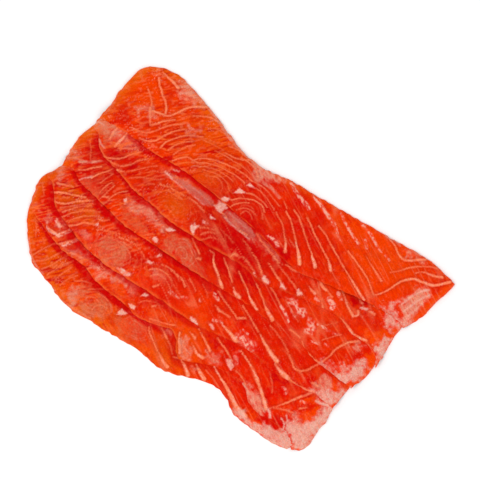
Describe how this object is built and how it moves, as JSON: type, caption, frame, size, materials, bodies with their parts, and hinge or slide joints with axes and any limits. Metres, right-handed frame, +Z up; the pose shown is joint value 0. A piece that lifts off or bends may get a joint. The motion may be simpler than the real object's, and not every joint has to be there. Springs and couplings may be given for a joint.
{
  "type": "smoked salmon fillet",
  "caption": "Flat piece of smoked salmon fillet cut into thin slices that overlap like shingles, with a rounded dorsal end and a pale fatty belly end.",
  "frame": {"origin": "centre of the bounding box seen from above, on the surface that the fish lies on", "axes": "+X along the slices to the fatty belly end, +Y from the lowest slice to the top one, +Z up"},
  "size_m": [0.2096, 0.1365, 0.0126],
  "materials": {
    "salmon_flesh": "wet, satin to glossy, orange-red with pale pink fat lines"
  },
  "bodies": {
    "root": {"slice_1": "salmon_flesh", "slice_2": "salmon_flesh", "slice_3": "salmon_flesh", "slice_4": "salmon_flesh", "slice_5": "salmon_flesh", "slice_6": "salmon_flesh"}
  },
  "joints": []
}
